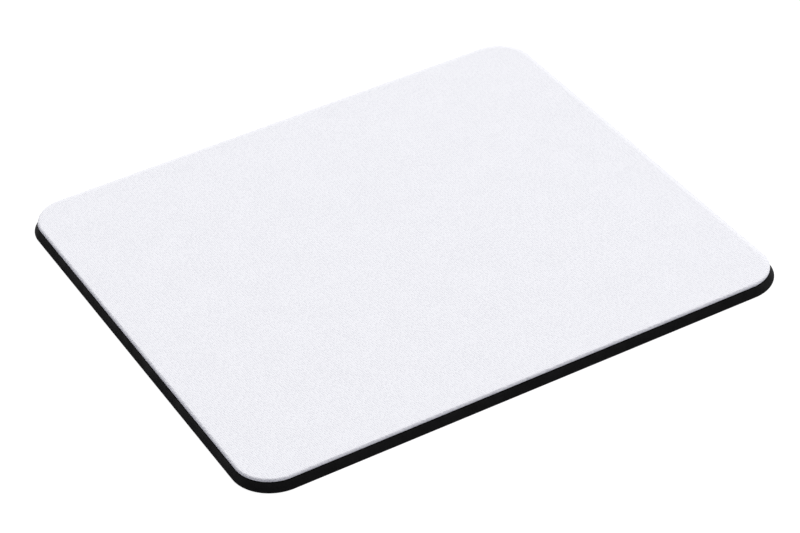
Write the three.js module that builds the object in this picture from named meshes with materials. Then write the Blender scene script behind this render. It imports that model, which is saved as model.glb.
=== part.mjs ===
// A mouse pad: a white cloth face bonded by an adhesive film to a black foam rubber base.
// The three layers were die-cut together, so they share one outline. The cut pressed the layers down
// along the edge, where the cloth rolls over, and left the rubber's wall flaring out towards the desk.
// Millimetres, +Z up. The origin is the middle of the underside, +X runs along the long side.

import * as THREE from 'three';

// The outline, taken at the foot of the cut wall, where the pad is widest
const PAD_LENGTH = 228.6;
const PAD_WIDTH = 203.2;
const CORNER_RADIUS = 16.5;

// The layers' thicknesses, away from the edge
const RUBBER_THICKNESS = 4.2;
const ADHESIVE_THICKNESS = 0.1;
const FABRIC_THICKNESS = 0.5;

// The cut wall: how far its foot stands out past its top, and the rounding under the foot
const WALL_FLARE = 1.7;
const FOOT_RADIUS = 0.3;

// The strip along the edge that the die pressed down: its width, how far the rubber was pressed,
// and the height of the cloth's upright cut edge
const ROLL_WIDTH = 1.5;
const ROLL_DEPTH = 0.3;
const FABRIC_EDGE_HEIGHT = 0.15;

// How finely the round stretches are divided, and the smallest corner radius an inset outline keeps
const CORNER_STEPS = 16;
const FOOT_STEPS = 3;
const ROLL_STEPS = 6;
const LEAST_RADIUS = 0.05;

// Each layer's top surface, away from the edge
const rubberTop = RUBBER_THICKNESS;
const adhesiveTop = rubberTop + ADHESIVE_THICKNESS;
const fabricTop = adhesiveTop + FABRIC_THICKNESS;

// Evenly spaced shares from 0 to 1, in the given number of steps
function shares(steps) {
  return Array.from({ length: steps + 1 }, (_, step) => step / steps);
}

// One ring of points: the pad's outline moved inwards by inset, at the given height, anticlockwise
function outlineRing({ inset, height }) {
  const radius = Math.max(CORNER_RADIUS - inset, LEAST_RADIUS);
  const centreX = PAD_LENGTH / 2 - inset - radius;
  const centreY = PAD_WIDTH / 2 - inset - radius;
  const corners = [[1, 1], [-1, 1], [-1, -1], [1, -1]];
  return corners.flatMap(([sideX, sideY], corner) => shares(CORNER_STEPS).map((share) => {
    const angle = (corner + share) * Math.PI / 2;
    return [sideX * centreX + radius * Math.cos(angle), sideY * centreY + radius * Math.sin(angle), height];
  }));
}

// A closed solid lofted through outline rings, listed from the middle of its underside,
// out round its edge and back to the middle of its top. A fan of triangles closes each flat face.
function loftedGeometry(profile) {
  const rings = profile.map(outlineRing);
  const ringSize = rings[0].length;
  const underside = rings.length * ringSize;
  const topside = underside + 1;
  const points = rings.flat();
  points.push([0, 0, profile[0].height], [0, 0, profile.at(-1).height]);

  const lastRing = (rings.length - 1) * ringSize;
  const triangles = [];
  for (let here = 0; here < ringSize; here += 1) {
    const next = (here + 1) % ringSize;
    triangles.push(underside, next, here);
    triangles.push(topside, lastRing + here, lastRing + next);
    for (let ring = 0; ring < lastRing; ring += ringSize) {
      const above = ring + ringSize;
      triangles.push(ring + here, ring + next, above + next);
      triangles.push(ring + here, above + next, above + here);
    }
  }

  const geometry = new THREE.BufferGeometry();
  geometry.setAttribute('position', new THREE.Float32BufferAttribute(points.flat(), 3));
  geometry.setIndex(triangles);
  geometry.computeVertexNormals();
  return geometry;
}

// A bonded surface from the cut edge inwards: a parabola where the die pressed it down, then flat
function pressedProfile(flatHeight) {
  return shares(ROLL_STEPS).map((share) => ({
    inset: WALL_FLARE + ROLL_WIDTH * share,
    height: flatHeight - ROLL_DEPTH * (1 - share) ** 2,
  }));
}

// The wall's foot: a quarter circle from the underside up to the pad's widest outline
function footProfile() {
  return shares(FOOT_STEPS).map((share) => ({
    inset: FOOT_RADIUS * (1 - Math.sin(share * Math.PI / 2)),
    height: FOOT_RADIUS * (1 - Math.cos(share * Math.PI / 2)),
  }));
}

// The cloth's face from the cut edge inwards: an upright edge, then a quarter ellipse, then flat
function clothFaceProfile() {
  const edgeTop = adhesiveTop - ROLL_DEPTH + FABRIC_EDGE_HEIGHT;
  return shares(ROLL_STEPS).map((share) => ({
    inset: WALL_FLARE + ROLL_WIDTH * (1 - Math.cos(share * Math.PI / 2)),
    height: edgeTop + (fabricTop - edgeTop) * Math.sin(share * Math.PI / 2),
  }));
}

// The foam rubber base, with its flared wall
function rubberBase() {
  const geometry = loftedGeometry([...footProfile(), ...pressedProfile(rubberTop)]);
  const material = new THREE.MeshStandardMaterial({ color: 0x161616, roughness: 0.85, metalness: 0 });
  const mesh = new THREE.Mesh(geometry, material);
  mesh.name = 'rubber_base';
  return mesh;
}

// The film that bonds the cloth to the rubber, lying on the rubber's pressed top
function adhesiveFilm() {
  const lower = pressedProfile(rubberTop).reverse();
  const geometry = loftedGeometry([...lower, ...pressedProfile(adhesiveTop)]);
  const material = new THREE.MeshStandardMaterial({ color: 0x0d0d0e, roughness: 0.5, metalness: 0 });
  const mesh = new THREE.Mesh(geometry, material);
  mesh.name = 'adhesive_film';
  return mesh;
}

// The cloth face, lying on the film, with its edge rolled over
function fabricFace() {
  const lower = pressedProfile(adhesiveTop).reverse();
  const geometry = loftedGeometry([...lower, ...clothFaceProfile()]);
  const material = new THREE.MeshStandardMaterial({ color: 0xf1f1f6, roughness: 0.95, metalness: 0 });
  const mesh = new THREE.Mesh(geometry, material);
  mesh.name = 'fabric_top';
  return mesh;
}

const mousePad = new THREE.Group();
mousePad.add(rubberBase(), adhesiveFilm(), fabricFace());

export default mousePad;
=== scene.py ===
import math

import bpy
import numpy as np
from mathutils import Matrix, Vector


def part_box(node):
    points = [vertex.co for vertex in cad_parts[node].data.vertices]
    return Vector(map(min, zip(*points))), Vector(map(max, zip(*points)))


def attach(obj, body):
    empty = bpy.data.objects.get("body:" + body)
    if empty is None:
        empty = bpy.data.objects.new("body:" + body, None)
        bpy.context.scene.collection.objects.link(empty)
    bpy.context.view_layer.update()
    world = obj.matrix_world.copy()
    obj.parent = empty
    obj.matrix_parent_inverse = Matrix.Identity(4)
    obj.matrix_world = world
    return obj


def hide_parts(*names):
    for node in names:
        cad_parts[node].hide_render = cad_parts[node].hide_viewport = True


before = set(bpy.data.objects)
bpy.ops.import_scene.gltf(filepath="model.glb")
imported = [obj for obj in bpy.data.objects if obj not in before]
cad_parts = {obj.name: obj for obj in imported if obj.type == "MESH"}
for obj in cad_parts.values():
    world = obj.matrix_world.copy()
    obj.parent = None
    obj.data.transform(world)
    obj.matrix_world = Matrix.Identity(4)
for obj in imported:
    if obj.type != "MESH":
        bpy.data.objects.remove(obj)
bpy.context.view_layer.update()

# A mouse pad: a white cloth face bonded by a dark adhesive film to a black foam rubber base, all die-cut
# in one stroke. Each layer is a closed slab: rings carried round the pad's outline, closed above and below.
# Metres, in the frame of the solids: +X along the long side, +Z up, the desk at zero.

MM = 0.001

# Sizes that the solids give
foot_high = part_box("rubber_base")[1]
film_low, film_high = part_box("adhesive_film")
cloth_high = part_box("fabric_top")[1]
HALF_LENGTH = foot_high.x
HALF_WIDTH = foot_high.y
RIM_INSET = foot_high.x - cloth_high.x
RUBBER_TOP = foot_high.z
FILM_TOP = film_high.z
CLOTH_TOP = cloth_high.z
ROLL_DEPTH = RUBBER_TOP - film_low.z

# Sizes that their boxes don't give, as the solids have them
CORNER_RADIUS = 16.5 * MM
FOOT_RADIUS = 0.3 * MM
ROLL_WIDTH = 1.5 * MM

# Relief too fine for the solids: the rubber's, the film's and the cloth's
WALL_HOLLOW = 0.12 * MM
PORE_SIZE = 0.5 * MM
PORE_DEPTH = 0.03 * MM
DRAG_SIZE = 6 * MM
DRAG_DEPTH = 0.04 * MM
GRIP_DEPTH = 0.12 * MM
FILM_HOLLOW = 0.04 * MM
SLACK_SIZE = 14 * MM
SLACK_DEPTH = 0.03 * MM
YARN_SIZE = 0.6 * MM
TUFT_SIZE = 2.3 * YARN_SIZE
TUFT_SHARE = 0.3

# The share of the wall's height above which its relief fades out, to meet the film
RELIEF_END = 0.98

# The cloth's rim, along the front and left, which the die drew far down, and along the back and right
EDGE_HEIGHT = (0.06 * MM, 0.54 * MM)
SHOULDER_WIDTH = (1.28 * MM, 1.75 * MM)
SHOULDER_POWER = (3, 1.12)
YARN_RELIEF = (0.08 * MM, 0.02 * MM)

# One sort of rim passes into the other while x + y of the outward direction runs from minus this to this
RIM_BLEND = 0.5

# Shares of the shoulder's width: where the ends of yarn stand out most, and where they stop
YARN_PEAK = 0.4
YARN_END = 1.1

# How the slabs are divided: cells of the flat field along each side, columns of the edge to one cell, rings
# of each stretch of the edge, and where the rings beside the flat fields lie
FIELD_MARGIN = 10 * MM
CLOTH_CELLS = (104, 92)
CLOTH_SPLIT = 10
RUBBER_CELLS = (190, 168)
RUBBER_SPLIT = 5
ROLL_RINGS = 4
FOOT_RINGS = 4
WALL_RINGS = 8
SHOULDER_RINGS = 13
SKIN_RING_INSET = 2 * MM
SHOULDER_TO_FIELD = (0.5 * MM, 1.2 * MM)

# Edges that turn by more than this are sharp
SHARP_ANGLE = math.radians(60)

# Cells along the noise's lattice, more than the pad has of the finest noise
NOISE_CELLS = 1024

# The camera, fitted to the pad's outline in the photograph: degrees, metres, and millimetres of lens
CAMERA_AZIMUTH = -27.01
CAMERA_ELEVATION = 36.8
CAMERA_ROLL = -4.22
CAMERA_DISTANCE = 1.0877
CAMERA_SLIDE = (1.65 * MM, -6 * MM)
CAMERA_LENS = 126.19
CAMERA_SENSOR = 36


def outline_columns(cells, split):
    """Columns round the pad's outline, anticlockwise from the middle of its front left corner.

    Each side runs from the middle of one corner's arc to the middle of the next, in even steps. A column
    is a root on the rectangle through the corners' centres and an outward direction. On the straight the
    root moves and the direction is the side's own. On an arc the root rests and the direction turns.
    Gives the roots and the directions, a row for each column.
    """
    reach = np.array([HALF_LENGTH, HALF_WIDTH]) - CORNER_RADIUS
    roots = []
    directions = []
    for side in range(4):
        facing = (side - 1) * math.pi / 2
        normal = np.array([math.cos(facing), math.sin(facing)]).round()
        along = np.array([-normal[1], normal[0]])
        straight = abs(along) @ reach
        half_side = straight + CORNER_RADIUS * math.pi / 4
        count = split * cells[side % 2]
        place = (2 * np.arange(count) / count - 1) * half_side
        on_straight = place.clip(-straight, straight)
        angle = facing + (place - on_straight) / CORNER_RADIUS
        roots.append(normal * (abs(normal) @ reach) + np.outer(on_straight, along))
        directions.append(np.stack([np.cos(angle), np.sin(angle)], axis=1))
    return np.concatenate(roots), np.concatenate(directions)


def field_grid(cells):
    """The flat middle of the pad as a grid: even steps across a rectangle inside the outline.

    Gives the places, the grid of their numbers, and the border's numbers anticlockwise from the front left.
    """
    x = np.linspace(-1, 1, cells[0] + 1) * (HALF_LENGTH - FIELD_MARGIN)
    y = np.linspace(-1, 1, cells[1] + 1) * (HALF_WIDTH - FIELD_MARGIN)
    places = np.stack(np.meshgrid(x, y), axis=-1)
    numbers = np.arange(places[..., 0].size).reshape(places.shape[:2])
    border = np.concatenate([numbers[0, :-1], numbers[:-1, -1], numbers[-1, :0:-1], numbers[:0:-1, 0]])
    return places, numbers, border


def grid_quads(numbers):
    """The quads of a grid of vertex numbers, each turning the way that rows then columns turn."""
    corners = [numbers[:-1, :-1], numbers[:-1, 1:], numbers[1:, 1:], numbers[1:, :-1]]
    return np.stack(corners, axis=-1).reshape(-1, 4)


def fan_triangles(ring, border, split):
    """Triangles from a fine ring inwards to a coarser border, which has one vertex for each split columns.

    The first half of a cell's columns fan to the border vertex behind, the rest to the one ahead, and one
    triangle closes the cell between them.
    """
    here = ring.reshape(-1, split)
    ahead = np.roll(ring, -1).reshape(-1, split)
    half = split // 2
    behind_tip = np.repeat(border[:, None], half, axis=1)
    ahead_tip = np.repeat(np.roll(border, -1)[:, None], split - half, axis=1)
    fans = np.stack([here, ahead, np.concatenate([behind_tip, ahead_tip], axis=1)], axis=-1)
    closing = np.stack([here[:, half], np.roll(border, -1), border], axis=-1)
    return np.concatenate([fans.reshape(-1, 3), closing])


def numbered(rings):
    """Vertex numbers of rings that follow one another, each ring ending with its first vertex again."""
    numbers = np.arange(rings[..., 0].size).reshape(rings.shape[:2])
    return np.concatenate([numbers, numbers[:, :1]], axis=1)


def centre_fan(ring, centre):
    """Triangles from a closed ring of vertex numbers in to one vertex at its centre."""
    return np.stack([ring[:-1], ring[1:], np.full(len(ring) - 1, centre)], axis=-1)


def eased(value, start, end):
    """A smooth step from 0 at start to 1 at end."""
    share = ((value - start) / (end - start)).clip(0, 1)
    return share * share * (3 - 2 * share)


def value_noise(places, size, seed):
    """Smooth noise from -1 to 1 over the plane: random values on a square lattice, eased in between."""
    table = np.random.default_rng(seed).uniform(-1, 1, (NOISE_CELLS, NOISE_CELLS))
    cell = np.floor(places / size).astype(int)
    across, up = np.moveaxis(eased(places / size - cell, 0, 1), -1, 0)
    column, row = np.moveaxis(cell % NOISE_CELLS, -1, 0)
    next_column, next_row = np.moveaxis((cell + 1) % NOISE_CELLS, -1, 0)
    near = table[row, column] + (table[row, next_column] - table[row, column]) * across
    far = table[next_row, column] + (table[next_row, next_column] - table[next_row, column]) * across
    return near + (far - near) * up


def unrolled(inset, height):
    """How far in from the outline each ring would lie, if the profile's last ring stayed and the rest were
    laid out flat: the last inset less the length of profile between."""
    steps = np.hypot(np.diff(inset, axis=0), np.diff(height, axis=0))
    beyond = np.concatenate([np.cumsum(steps[::-1], axis=0)[::-1], np.zeros_like(steps[:1])])
    return inset[-1] - beyond


def carried(columns, inset, height):
    """A profile carried round the outline: ring by column points. Inset is measured in from the foot's
    outline, along each column's direction, and inset and height may change from column to column."""
    roots, directions = columns
    shape = np.broadcast_shapes(np.shape(inset), np.shape(height), (1, len(roots)))
    reach = np.broadcast_to(CORNER_RADIUS - inset, shape)[..., None]
    flat = roots + directions * reach
    return np.concatenate([flat, np.broadcast_to(height, shape)[..., None]], axis=-1)


def chart(places, main):
    """Places on the bake's map: the main chart fills its width, the hidden one is squeezed in below it."""
    map_size = 2.1 * HALF_LENGTH
    main_middle = 0.575
    hidden_size = 20 * HALF_WIDTH
    hidden_middle = 0.07
    across = 0.5 + places[..., 0] / map_size
    if main:
        up = main_middle + places[..., 1] / map_size
    else:
        up = hidden_middle + places[..., 1] / hidden_size
    return np.stack([across, up], axis=-1)


def make_piece(name, points, faces, unrolled_rings, materials):
    """One closed mesh, smooth except at its sharp edges.

    faces lists groups of faces: an array of vertex numbers, the number of their material, and whether they
    are on the main chart. A vertex is charted straight below its place, except that on the main chart the
    unrolled rings, given as vertex numbers and places, are laid out flat.
    """
    mesh = bpy.data.meshes.new(name)
    corners = np.concatenate([group.ravel() for group, _, _ in faces])
    sizes = np.concatenate([np.full(len(group), group.shape[1]) for group, _, _ in faces])
    slots = np.concatenate([np.full(len(group), slot) for group, slot, _ in faces])
    is_main = np.concatenate([np.full(group.size, main) for group, _, main in faces])
    mesh.vertices.add(len(points))
    mesh.vertices.foreach_set("co", points.astype(np.float32).ravel())
    mesh.loops.add(len(corners))
    mesh.loops.foreach_set("vertex_index", corners.astype(np.int32))
    mesh.polygons.add(len(sizes))
    mesh.polygons.foreach_set("loop_start", (np.cumsum(sizes) - sizes).astype(np.int32))
    mesh.polygons.foreach_set("material_index", slots.astype(np.int32))
    straight_below = points[:, :2]
    laid_out = straight_below.copy()
    ring_numbers, ring_places = unrolled_rings
    laid_out[ring_numbers.ravel()] = ring_places.reshape(-1, 2)
    on_main = chart(laid_out[corners], True)
    on_hidden = chart(straight_below[corners], False)
    on_map = np.where(is_main[:, None], on_main, on_hidden)
    mesh.uv_layers.new(name="OFBake").uv.foreach_set("vector", on_map.astype(np.float32).ravel())
    place = mesh.attributes.new("laid_out", "FLOAT_VECTOR", "POINT")
    flat = np.concatenate([laid_out, np.zeros((len(points), 1))], axis=1)
    place.data.foreach_set("vector", flat.astype(np.float32).ravel())
    mesh.update(calc_edges=True)
    mesh.validate()
    mesh.shade_smooth()
    mesh.set_sharp_from_angle(angle=SHARP_ANGLE)
    for material in materials:
        mesh.materials.append(material)
    piece = bpy.data.objects.new(name, mesh)
    bpy.context.scene.collection.objects.link(piece)
    return piece


def pressed_profile(flat_height):
    """A bonded surface from the rim inwards: a parabola where the die pressed it down, then flat."""
    share = np.linspace(0, 1, ROLL_RINGS)
    inset = RIM_INSET + ROLL_WIDTH * share
    height = flat_height - ROLL_DEPTH * (1 - share) ** 2
    return inset, height


def cloth_face(material):
    """The cloth, from its bonded underside out to the cut edge and over its shoulder to the flat field.

    The cut edge is upright. Above it is the shoulder that the die drew down: its drop below the field is a
    power of the share of its width still to go. Along the front and left the edge is low and the shoulder
    round. Along the back and right the edge stays high and the shoulder is nearly a bevel. The two sorts of
    rim pass into each other round the corners between them. Ends of yarn stand out along the surface's own
    normal by lattice noise, most on the middle of the shoulder, and the field is slightly slack.
    """
    columns = outline_columns(CLOTH_CELLS, CLOTH_SPLIT)
    under_inset, under_height = (part[::-1] for part in pressed_profile(FILM_TOP))
    spared = eased(columns[1].sum(axis=1), -RIM_BLEND, RIM_BLEND)
    ranges = (EDGE_HEIGHT, SHOULDER_WIDTH, SHOULDER_POWER, YARN_RELIEF)
    edge_height, shoulder_width, power, yarn_relief = (low + (high - low) * spared for low, high in ranges)
    share = np.linspace(0, 1, SHOULDER_RINGS)[:, None]
    edge_foot = np.full((1, len(spared)), FILM_TOP - ROLL_DEPTH)
    edge_top = edge_foot + edge_height
    shoulder_inset = RIM_INSET + shoulder_width * share
    shoulder_height = CLOTH_TOP - (CLOTH_TOP - edge_top) * (1 - share) ** power
    beyond = shoulder_inset[-1] + np.array(SHOULDER_TO_FIELD)[:, None]
    rim_inset = np.concatenate([shoulder_inset[:1], shoulder_inset, beyond])
    rim_height = np.concatenate([edge_foot, shoulder_height, np.full_like(beyond, CLOTH_TOP)])

    laid = carried(columns, unrolled(rim_inset, rim_height), 0)[..., :2]
    rise = np.gradient(rim_height, axis=0)
    run = np.gradient(rim_inset, axis=0)
    slope = np.hypot(rise, run)
    yarn = value_noise(laid, YARN_SIZE, seed=11) + TUFT_SHARE * value_noise(laid, TUFT_SIZE, seed=12)
    climb = (rim_inset - RIM_INSET) / shoulder_width
    bared = eased(climb, 0, YARN_PEAK) * (1 - eased(climb, YARN_PEAK, YARN_END))
    relief = yarn_relief * yarn * bared
    inset = rim_inset - relief * rise / slope
    height = rim_height + relief * run / slope

    under = carried(columns, under_inset[:-1, None], under_height[:-1, None])
    rim = carried(columns, inset, height)
    places, numbers, border = field_grid(CLOTH_CELLS)
    slack = SLACK_DEPTH * (value_noise(places, SLACK_SIZE, seed=13) - 1) / 2
    field = np.concatenate([places, (CLOTH_TOP + slack)[..., None]], axis=-1)

    rings = np.concatenate([under, rim])
    closed = numbered(rings)
    seam = len(under)
    centre = rings[..., 0].size
    numbers = numbers + centre + 1
    border = border + centre + 1
    points = np.concatenate([rings.reshape(-1, 3), [[0, 0, FILM_TOP]], field.reshape(-1, 3)])
    faces = [
        (centre_fan(closed[0], centre)[:, ::-1], 0, False),
        (grid_quads(closed[:seam + 1]), 0, False),
        (grid_quads(closed[seam:]), 0, True),
        (fan_triangles(closed[-1, :-1], border, CLOTH_SPLIT), 0, True),
        (grid_quads(numbers), 0, True),
    ]
    return make_piece("cloth_face", points, faces, (closed[seam:, :-1], laid), [material])


def bond_film(material):
    """The film, between the pressed top of the rubber and the pressed underside of the cloth. Its cut edge
    draws in a little between them, as a hollow of one middle ring."""
    columns = outline_columns(RUBBER_CELLS, RUBBER_SPLIT)
    low_inset, low_height = (part[::-1] for part in pressed_profile(RUBBER_TOP))
    top_inset, top_height = pressed_profile(FILM_TOP)
    waist = (low_height[-1] + top_height[0]) / 2
    inset = np.concatenate([low_inset, [RIM_INSET + FILM_HOLLOW], top_inset])
    height = np.concatenate([low_height, [waist], top_height])
    rings = carried(columns, inset[:, None], height[:, None])
    closed = numbered(rings)
    seam = len(low_inset) - 1
    under_centre = rings[..., 0].size
    top_centre = under_centre + 1
    points = np.concatenate([rings.reshape(-1, 3), [[0, 0, RUBBER_TOP], [0, 0, FILM_TOP]]])
    faces = [
        (centre_fan(closed[0], under_centre)[:, ::-1], 0, False),
        (grid_quads(closed[:seam + 1]), 0, False),
        (grid_quads(closed[seam:]), 0, True),
        (centre_fan(closed[-1], top_centre), 0, True),
    ]
    laid = carried(columns, unrolled(inset[seam:], height[seam:])[:, None], 0)[..., :2]
    return make_piece("bond_film", points, faces, (closed[seam:, :-1], laid), [material])


def foam_base(cut_foam, grip_skin):
    """The rubber base: an embossed underside, a quarter circle at the foot, and a leaning, slightly hollow
    wall up to the pressed top.

    The wall's inset grows evenly with height, plus a sine for its hollow. Pores and the die's drag move
    each point along the wall's normal by lattice noise. On the underside every second grid vertex, both
    ways, is raised, which leaves a waffle of shallow pits.
    """
    columns = outline_columns(RUBBER_CELLS, RUBBER_SPLIT)
    quarter = np.linspace(0, math.pi / 2, FOOT_RINGS)
    foot_inset = FOOT_RADIUS * (1 - np.sin(quarter))
    foot_height = FOOT_RADIUS * (1 - np.cos(quarter))
    rim_height = RUBBER_TOP - ROLL_DEPTH
    share = np.linspace(0, 1, WALL_RINGS + 1)[1:]
    wall_inset = RIM_INSET * share + WALL_HOLLOW * np.sin(math.pi * share)
    wall_height = FOOT_RADIUS + (rim_height - FOOT_RADIUS) * share
    top_inset, top_height = (part[1:] for part in pressed_profile(RUBBER_TOP))
    low_inset = np.concatenate([[SKIN_RING_INSET], foot_inset, wall_inset])
    low_height = np.concatenate([[0], foot_height, wall_height])

    laid_inset = -unrolled(-low_inset[::-1], low_height[::-1])[::-1]
    laid = carried(columns, laid_inset[:, None], 0)[..., :2]
    rise = np.gradient(low_height)
    lean = np.gradient(low_inset)
    slope = np.hypot(rise, lean)
    fading_in = eased(low_height, 0, 2 * FOOT_RADIUS)
    fading_out = eased(low_height, RELIEF_END * rim_height, rim_height)
    cut = fading_in * (1 - fading_out)
    pores = np.minimum(value_noise(laid, PORE_SIZE, seed=21), 0)
    drag = value_noise(laid, DRAG_SIZE, seed=22) - 1
    relief = (PORE_DEPTH * pores + DRAG_DEPTH * drag / 2) * cut[:, None]
    inset = low_inset[:, None] - relief * (rise / slope)[:, None]
    height = low_height[:, None] + relief * (lean / slope)[:, None]

    wall = carried(columns, inset, height)
    top = carried(columns, top_inset[:, None], top_height[:, None])
    places, numbers, border = field_grid(RUBBER_CELLS)
    pits = np.zeros(places.shape[:2])
    pits[1:-1:2, 1:-1:2] = GRIP_DEPTH
    field = np.concatenate([places, pits[..., None]], axis=-1)

    rings = np.concatenate([wall, top])
    closed = numbered(rings)
    skin_edge = 1
    seam = len(wall) - 1
    centre = rings[..., 0].size
    numbers = numbers + centre + 1
    border = border + centre + 1
    points = np.concatenate([rings.reshape(-1, 3), [[0, 0, RUBBER_TOP]], field.reshape(-1, 3)])
    foam_slot = 0
    skin_slot = 1
    faces = [
        (grid_quads(numbers)[:, ::-1], skin_slot, True),
        (fan_triangles(closed[0, :-1], border, RUBBER_SPLIT)[:, ::-1], skin_slot, True),
        (grid_quads(closed[:skin_edge + 1]), skin_slot, True),
        (grid_quads(closed[skin_edge:seam + 1]), foam_slot, True),
        (grid_quads(closed[seam:]), foam_slot, False),
        (centre_fan(closed[-1], centre), foam_slot, False),
    ]
    return make_piece("foam_base", points, faces, (closed[:seam + 1, :-1], laid), [cut_foam, grip_skin])


def linear(colour):
    """An sRGB hex colour as linear red, green, blue and a full alpha."""
    channels = np.array([int(colour[start:start + 2], 16) for start in (1, 3, 5)]) / 255
    bright = ((channels + 0.055) / 1.055) ** 2.4
    return (*np.where(channels <= 0.04045, channels / 12.92, bright).tolist(), 1.0)


def add_node(tree, kind, inputs, **settings):
    """One node with its settings. An input is a value, or the output socket of another node to link."""
    made = tree.nodes.new(kind)
    for name, value in settings.items():
        setattr(made, name, value)
    for socket, value in inputs.items():
        if isinstance(value, bpy.types.NodeSocket):
            tree.links.new(value, made.inputs[socket])
        else:
            made.inputs[socket].default_value = value
    return made


def new_material(name):
    """An empty material and its node tree."""
    material = bpy.data.materials.new(name)
    material.use_nodes = True
    material.node_tree.nodes.clear()
    return material, material.node_tree


def pressed_polyester_knit():
    """White polyester knit, heat-set and pressed smooth. It gives the eye a matt, faintly cool white with
    fine pits between its loops, painted darker as painted shade, a little fuzz, and slow cloudiness where
    the press bore unevenly. Its cut edge is painted a cool grey towards the foot, as painted shade.
    Its loops, about 0.4 by 0.5 mm on a real pad, are drawn nearly twice as large, so that they show."""
    loop_size = (0.7 * MM, 0.88 * MM)
    fuzz_size = 0.5 * MM
    cloud_size = 16 * MM
    # The rim is painted darker and cooler from just under the field down to the foot: painted shade.
    shade_from = CLOTH_TOP - 0.1 * MM
    shade_to = FILM_TOP - ROLL_DEPTH
    material, tree = new_material("pressed_polyester_knit")
    place = add_node(tree, "ShaderNodeAttribute", {}, attribute_name="laid_out").outputs["Vector"]
    stretched = add_node(tree, "ShaderNodeMapping", {
        "Vector": place, "Scale": (1 / loop_size[0], 1 / loop_size[1], 1),
    })
    loops = add_node(tree, "ShaderNodeTexVoronoi", {
        "Vector": stretched.outputs["Vector"], "Scale": 1.0, "Randomness": 0.3,
    }, voronoi_dimensions="2D")
    depth = add_node(tree, "ShaderNodeSeparateColor", {"Color": loops.outputs["Color"]})
    fuzz = add_node(tree, "ShaderNodeTexNoise", {
        "Vector": place, "Scale": 1 / fuzz_size, "Detail": 2.0, "Roughness": 0.6,
    }, noise_dimensions="2D")
    clouds = add_node(tree, "ShaderNodeTexNoise", {
        "Vector": place, "Scale": 1 / cloud_size, "Detail": 3.0, "Roughness": 0.55,
    }, noise_dimensions="2D")
    dips = add_node(tree, "ShaderNodeMapRange", {
        "Value": loops.outputs["Distance"], "From Min": 0.1, "From Max": 0.55, "To Min": 1.0, "To Max": 0.0,
    }, interpolation_type="SMOOTHSTEP")
    shallow = add_node(tree, "ShaderNodeMapRange", {
        "Value": depth.outputs["Red"], "To Min": 0.45, "To Max": 1.0,
    })
    pits = add_node(tree, "ShaderNodeMath", {
        0: dips.outputs["Result"], 1: shallow.outputs["Result"],
    }, operation="MULTIPLY")
    # Painted shade: the pits between the loops are coloured darker than the loops.
    pit_shaded = add_node(tree, "ShaderNodeMix", {
        "Factor": pits.outputs["Value"], "A": linear("#fafafa"), "B": linear("#d8d8dc"),
    }, data_type="RGBA")
    cloudy = add_node(tree, "ShaderNodeMapRange", {
        "Value": clouds.outputs["Fac"], "From Min": 0.3, "From Max": 0.7, "To Min": 0.985, "To Max": 1.0,
    })
    spot = add_node(tree, "ShaderNodeTexCoord", {}).outputs["Object"]
    # Painted shade: a mask that rises towards the foot of the cut edge.
    painted_shade = add_node(tree, "ShaderNodeMapRange", {
        "Value": add_node(tree, "ShaderNodeSeparateXYZ", {"Vector": spot}).outputs["Z"],
        "From Min": shade_from, "From Max": shade_to,
    }, interpolation_type="SMOOTHSTEP")
    clouded = add_node(tree, "ShaderNodeMix", {
        "Factor": 1.0, "A": pit_shaded.outputs["Result"], "B": cloudy.outputs["Result"],
    }, data_type="RGBA", blend_type="MULTIPLY")
    # Painted shade: the rim's colour is multiplied by a cool grey towards its foot.
    with_painted_shade = add_node(tree, "ShaderNodeMix", {
        "Factor": painted_shade.outputs["Result"], "A": clouded.outputs["Result"], "B": linear("#e9e9ee"),
    }, data_type="RGBA", blend_type="MULTIPLY")
    relief = add_node(tree, "ShaderNodeMath", {
        0: fuzz.outputs["Fac"], 1: pits.outputs["Value"],
    }, operation="SUBTRACT")
    bump = add_node(tree, "ShaderNodeBump", {
        "Height": relief.outputs["Value"], "Strength": 0.5, "Distance": 0.06 * MM,
    })
    shader = add_node(tree, "ShaderNodeBsdfPrincipled", {
        "Base Color": with_painted_shade.outputs["Result"], "Normal": bump.outputs["Normal"], "Roughness": 0.95,
        "IOR": 1.5, "Specular IOR Level": 0.2, "Sheen Weight": 0.25, "Sheen Roughness": 0.4,
    })
    add_node(tree, "ShaderNodeOutputMaterial", {"Surface": shader.outputs["BSDF"]})
    return material


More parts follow.
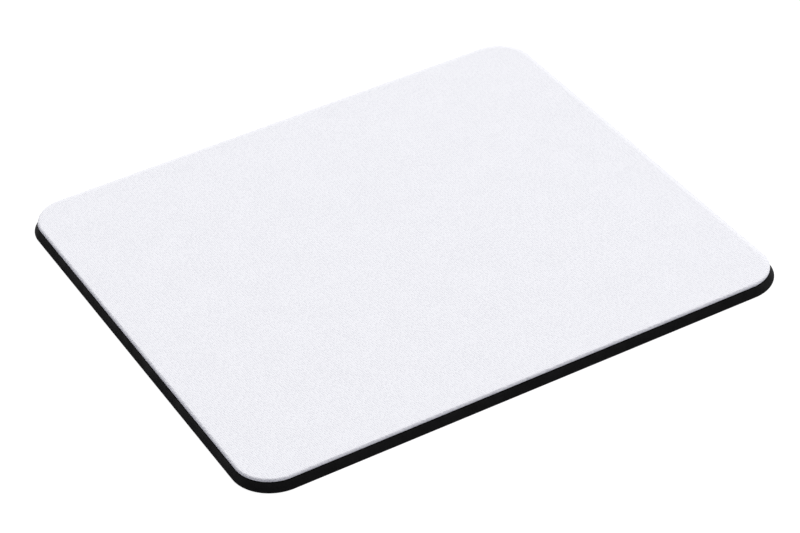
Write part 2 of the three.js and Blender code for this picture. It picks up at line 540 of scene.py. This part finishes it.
def die_cut_foam_rubber():
    """Black foam rubber, cut through by a die. It gives the eye a matt, nearly even black with open pores,
    and no gloss. Along its top, just under the cloth, the cut is painted darker and less glossy: painted
    shade.
    Its pores are about 0.2 mm across on a real pad and are drawn at 0.6 mm, so that they show."""
    pore_size = 0.6 * MM
    smear_size = 5 * MM
    # The wall's top, just under the cloth, is painted darker: painted shade.
    shade_from = RUBBER_TOP - ROLL_DEPTH - 0.5 * MM
    shade_to = shade_from + 0.35 * MM
    material, tree = new_material("die_cut_foam_rubber")
    place = add_node(tree, "ShaderNodeTexCoord", {}).outputs["Object"]
    pores = add_node(tree, "ShaderNodeTexVoronoi", {"Vector": place, "Scale": 1 / pore_size})
    smears = add_node(tree, "ShaderNodeTexNoise", {"Vector": place, "Scale": 1 / smear_size, "Detail": 3.0})
    walls = add_node(tree, "ShaderNodeMapRange", {
        "Value": pores.outputs["Distance"], "From Min": 0.1, "From Max": 0.7,
    })
    grey = add_node(tree, "ShaderNodeMix", {
        "Factor": walls.outputs["Result"], "A": linear("#0c0c0c"), "B": linear("#131313"),
    }, data_type="RGBA")
    # Painted shade: a mask that darkens the wall towards its top, under the cloth's edge.
    painted_shade = add_node(tree, "ShaderNodeMapRange", {
        "Value": add_node(tree, "ShaderNodeSeparateXYZ", {"Vector": place}).outputs["Z"],
        "From Min": shade_from, "From Max": shade_to, "To Min": 1.0, "To Max": 0.3,
    }, interpolation_type="SMOOTHSTEP")
    with_painted_shade = add_node(tree, "ShaderNodeMix", {
        "Factor": 1.0, "A": grey.outputs["Result"], "B": painted_shade.outputs["Result"],
    }, data_type="RGBA", blend_type="MULTIPLY")
    # The painted shade also dims the wall's gloss towards its top.
    gloss = add_node(tree, "ShaderNodeMath", {0: painted_shade.outputs["Result"], 1: 0.15}, operation="MULTIPLY")
    rough = add_node(tree, "ShaderNodeMapRange", {
        "Value": smears.outputs["Fac"], "From Min": 0.3, "From Max": 0.7, "To Min": 0.75, "To Max": 0.95,
    })
    bump = add_node(tree, "ShaderNodeBump", {
        "Height": walls.outputs["Result"], "Strength": 0.4, "Distance": 0.04 * MM,
    })
    shader = add_node(tree, "ShaderNodeBsdfPrincipled", {
        "Base Color": with_painted_shade.outputs["Result"], "Normal": bump.outputs["Normal"],
        "Roughness": rough.outputs["Result"], "IOR": 1.52, "Specular IOR Level": gloss.outputs["Value"],
    })
    add_node(tree, "ShaderNodeOutputMaterial", {"Surface": shader.outputs["BSDF"]})
    return material


def moulded_rubber_skin():
    """The closed skin of the foam, moulded against an embossing roll. It gives the eye a slightly smoother
    black than the cut wall, with the faint grain of the roll at about half a millimetre."""
    grain_size = 0.5 * MM
    material, tree = new_material("moulded_rubber_skin")
    place = add_node(tree, "ShaderNodeTexCoord", {}).outputs["Object"]
    grain = add_node(tree, "ShaderNodeTexNoise", {"Vector": place, "Scale": 1 / grain_size, "Detail": 2.0})
    grey = add_node(tree, "ShaderNodeMix", {
        "Factor": grain.outputs["Fac"], "A": linear("#151515"), "B": linear("#1d1d1d"),
    }, data_type="RGBA")
    rough = add_node(tree, "ShaderNodeMapRange", {
        "Value": grain.outputs["Fac"], "From Min": 0.3, "From Max": 0.7, "To Min": 0.55, "To Max": 0.75,
    })
    bump = add_node(tree, "ShaderNodeBump", {
        "Height": grain.outputs["Fac"], "Strength": 0.3, "Distance": 0.02 * MM,
    })
    shader = add_node(tree, "ShaderNodeBsdfPrincipled", {
        "Base Color": grey.outputs["Result"], "Normal": bump.outputs["Normal"],
        "Roughness": rough.outputs["Result"], "IOR": 1.52, "Specular IOR Level": 0.35,
    })
    add_node(tree, "ShaderNodeOutputMaterial", {"Surface": shader.outputs["BSDF"]})
    return material


def hot_melt_film():
    """Dark hot-melt adhesive film, squeezed between the layers. It gives the eye a thin, slightly glossy
    black line, uneven where the melt ran."""
    run_size = 3 * MM
    material, tree = new_material("hot_melt_film")
    place = add_node(tree, "ShaderNodeTexCoord", {}).outputs["Object"]
    runs = add_node(tree, "ShaderNodeTexNoise", {"Vector": place, "Scale": 1 / run_size, "Detail": 2.0})
    grey = add_node(tree, "ShaderNodeMix", {
        "Factor": runs.outputs["Fac"], "A": linear("#070708"), "B": linear("#101011"),
    }, data_type="RGBA")
    rough = add_node(tree, "ShaderNodeMapRange", {
        "Value": runs.outputs["Fac"], "From Min": 0.3, "From Max": 0.7, "To Min": 0.4, "To Max": 0.6,
    })
    shader = add_node(tree, "ShaderNodeBsdfPrincipled", {
        "Base Color": grey.outputs["Result"], "Roughness": rough.outputs["Result"],
        "IOR": 1.49, "Specular IOR Level": 0.25,
    })
    add_node(tree, "ShaderNodeOutputMaterial", {"Surface": shader.outputs["BSDF"]})
    return material


def opal_acrylic_table():
    """Opal acrylic lit from below, the studio's white table: pale, even and nearly free of shadow."""
    material, tree = new_material("opal_acrylic_table")
    shader = add_node(tree, "ShaderNodeBsdfPrincipled", {
        "Base Color": linear("#7c7c7c"), "Roughness": 0.9, "Specular IOR Level": 0.0,
        "Emission Color": linear("#ffffff"), "Emission Strength": 0.95,
    })
    add_node(tree, "ShaderNodeOutputMaterial", {"Surface": shader.outputs["BSDF"]})
    return material


def make_floor(material):
    """The table top: a square just under the pad's underside, so wide that no view reaches its edge."""
    half_floor = 6.0
    below = -0.01 * MM
    x, y = np.meshgrid([-half_floor, half_floor], [-half_floor, half_floor])
    points = np.stack([x, y, np.full((2, 2), below)], axis=-1).reshape(-1, 3)
    mesh = bpy.data.meshes.new("floor")
    mesh.from_pydata(points.tolist(), [], grid_quads(np.arange(4).reshape(2, 2)).tolist())
    mesh.materials.append(material)
    floor = bpy.data.objects.new("floor", mesh)
    bpy.context.scene.collection.objects.link(floor)


def soft_box(name, azimuth, elevation, distance, size, power):
    """A square soft light that looks at the middle of the pad. Azimuth is measured from +X towards +Y."""
    lamp = bpy.data.lights.new(name, "AREA")
    lamp.size = size
    lamp.energy = power
    turn = math.radians(azimuth)
    tilt = math.radians(elevation)
    towards = Vector((math.cos(turn) * math.cos(tilt), math.sin(turn) * math.cos(tilt), math.sin(tilt)))
    light = bpy.data.objects.new(name, lamp)
    light.location = towards * distance
    light.rotation_euler = towards.to_track_quat("Z", "Y").to_euler()
    light.visible_camera = False
    bpy.context.scene.collection.objects.link(light)


def light_studio():
    """A soft key from behind the pad, a weaker soft light from the right, and a dim even surround that the
    camera sees as white."""
    soft_box("key_light", azimuth=48, elevation=48, distance=14, size=8.4, power=2175)
    soft_box("right_light", azimuth=-5, elevation=28, distance=6, size=3, power=64)
    world = bpy.data.worlds.new("studio")
    world.use_nodes = True
    tree = world.node_tree
    tree.nodes.clear()
    seen = add_node(tree, "ShaderNodeLightPath", {}).outputs["Is Camera Ray"]
    surround = add_node(tree, "ShaderNodeBackground", {"Color": linear("#e5e6ff"), "Strength": 0.22})
    backdrop = add_node(tree, "ShaderNodeBackground", {"Color": linear("#ffffff"), "Strength": 1.0})
    either = add_node(tree, "ShaderNodeMixShader", {
        0: seen, 1: surround.outputs["Background"], 2: backdrop.outputs["Background"],
    })
    add_node(tree, "ShaderNodeOutputWorld", {"Surface": either.outputs["Shader"]})
    bpy.context.scene.world = world
    bpy.context.scene.view_settings.view_transform = "Standard"


def place_camera():
    """The photograph's camera: back from the pad along its line of sight, then slid across that line."""
    turn = math.radians(CAMERA_AZIMUTH)
    tilt = math.radians(CAMERA_ELEVATION)
    roll = math.radians(CAMERA_ROLL)
    back = Vector((math.sin(turn) * math.cos(tilt), -math.cos(turn) * math.cos(tilt), math.sin(tilt)))
    level_right = Vector((math.cos(turn), math.sin(turn), 0))
    level_up = back.cross(level_right)
    right = math.cos(roll) * level_right + math.sin(roll) * level_up
    up = math.cos(roll) * level_up - math.sin(roll) * level_right
    data = bpy.data.cameras.new("camera")
    data.lens = CAMERA_LENS
    data.sensor_width = CAMERA_SENSOR
    camera = bpy.data.objects.new("camera", data)
    eye = back * CAMERA_DISTANCE + right * CAMERA_SLIDE[0] + up * CAMERA_SLIDE[1]
    camera.matrix_world = Matrix.Translation(eye) @ Matrix((right, up, back)).transposed().to_4x4()
    bpy.context.scene.collection.objects.link(camera)
    bpy.context.scene.camera = camera


place_camera()
light_studio()
make_floor(opal_acrylic_table())

foam = foam_base(die_cut_foam_rubber(), moulded_rubber_skin())
film = bond_film(hot_melt_film())
cloth = cloth_face(pressed_polyester_knit())

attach(foam, "root")
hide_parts("rubber_base")

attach(film, "root")
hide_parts("adhesive_film")

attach(cloth, "root")
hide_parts("fabric_top")
